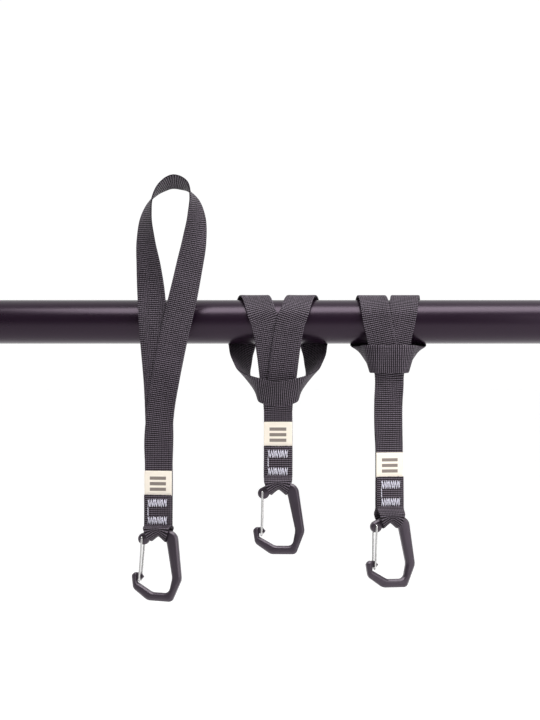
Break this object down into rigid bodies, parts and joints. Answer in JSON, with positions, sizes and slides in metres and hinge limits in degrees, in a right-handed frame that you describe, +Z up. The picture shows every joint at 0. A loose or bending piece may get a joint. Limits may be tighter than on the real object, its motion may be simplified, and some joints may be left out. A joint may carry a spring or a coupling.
{
  "type": "webbing gear sling set on a tube",
  "caption": "Black webbing gear slings with sewn eyes, woven labels and small wire-gate carabiners: one open loop, one loose and one tightened girth hitch on a horizontal tube",
  "frame": {"origin": "on the tube's axis, at the middle of its length", "axes": "+X runs along the tube to the right, the slings' front faces -Y, +Z is up and the slings hang along -Z"},
  "size_m": [0.52, 0.0625, 0.3675],
  "materials": {
    "tube": "satin black powder coat",
    "webbing": "black ribbed polyester webbing",
    "label": "cream woven label tape",
    "thread": "off-white sewing thread",
    "carabiner_body": "black anodised, satin",
    "gate_wire": "stainless spring wire"
  },
  "bodies": {
    "bar": {"tube": "tube"},
    "left_sling": {"left_loop": "webbing", "left_eye": "webbing", "left_label": "label", "left_tack_upper": "thread", "left_tack_lower": "thread", "left_run_stitch": "thread"},
    "left_carabiner": {"left_carabiner": "carabiner_body"},
    "left_gate": {"left_gate": "gate_wire"},
    "middle_hitch": {"middle_hitch": "webbing"},
    "middle_tail": {"middle_tail_front": "webbing", "middle_tail_rear": "webbing", "middle_eye": "webbing", "middle_label": "label", "middle_tack_upper": "thread", "middle_tack_lower": "thread", "middle_run_stitch": "thread"},
    "middle_carabiner": {"middle_carabiner": "carabiner_body"},
    "middle_gate": {"middle_gate": "gate_wire"},
    "right_hitch": {"right_hitch": "webbing"},
    "right_tail": {"right_tail_front": "webbing", "right_tail_rear": "webbing", "right_eye": "webbing", "right_label": "label", "right_tack_upper": "thread", "right_tack_lower": "thread", "right_run_stitch": "thread"},
    "right_carabiner": {"right_carabiner": "carabiner_body"},
    "right_gate": {"right_gate": "gate_wire"}
  },
  "joints": [
    {"name": "left_sling_pull_off", "type": "slide", "parent": "bar", "child": "left_sling", "axis": [0, -1, 0], "range_m": [0, 0.12]},
    {"name": "middle_hitch_slide", "type": "slide", "parent": "bar", "child": "middle_hitch", "axis": [1, 0, 0], "range_m": [-0.012, 0.008]},
    {"name": "right_hitch_slide", "type": "slide", "parent": "bar", "child": "right_hitch", "axis": [1, 0, 0], "range_m": [-0.008, 0.11]},
    {"name": "left_carabiner_swing", "type": "hinge", "parent": "left_sling", "child": "left_carabiner", "pos_m": [-0.09608, -0.03029, -0.1798], "axis": [0.9646, -0.2585, -0.0523], "range_deg": [-20, 20]},
    {"name": "left_gate_pivot", "type": "hinge", "parent": "left_carabiner", "child": "left_gate", "pos_m": [-0.10906, -0.02681, -0.1857], "axis": [-0.2588, -0.9659, 0], "range_deg": [0, 28], "stiffness_Nm_per_rad": 0.3, "springref_deg": -17.19},
    {"name": "middle_tail_swing", "type": "hinge", "parent": "middle_hitch", "child": "middle_tail", "pos_m": [0.007, -0.02185, -0.076], "axis": [1, 0, 0], "range_deg": [-30, 30]},
    {"name": "middle_carabiner_swing", "type": "hinge", "parent": "middle_tail", "child": "middle_carabiner", "pos_m": [0.00698, -0.023, -0.1401], "axis": [0.9976, -0.0698, 0], "range_deg": [-20, 20]},
    {"name": "middle_gate_pivot", "type": "hinge", "parent": "middle_carabiner", "child": "middle_gate", "pos_m": [-0.00619, -0.02208, -0.1467], "axis": [-0.0698, -0.9976, 0], "range_deg": [0, 28], "stiffness_Nm_per_rad": 0.3, "springref_deg": -17.19},
    {"name": "right_tail_swing", "type": "hinge", "parent": "right_hitch", "child": "right_tail", "pos_m": [0.103, -0.02185, -0.0485], "axis": [1, 0, 0], "range_deg": [-30, 30]},
    {"name": "right_carabiner_swing", "type": "hinge", "parent": "right_tail", "child": "right_carabiner", "pos_m": [0.10309, -0.02299, -0.1688], "axis": [0.9511, 0.309, 0], "range_deg": [-20, 20]},
    {"name": "right_gate_pivot", "type": "hinge", "parent": "right_carabiner", "child": "right_gate", "pos_m": [0.09054, -0.02706, -0.1754], "axis": [0.309, -0.9511, 0], "range_deg": [0, 28], "stiffness_Nm_per_rad": 0.3, "springref_deg": -17.19}
  ]
}
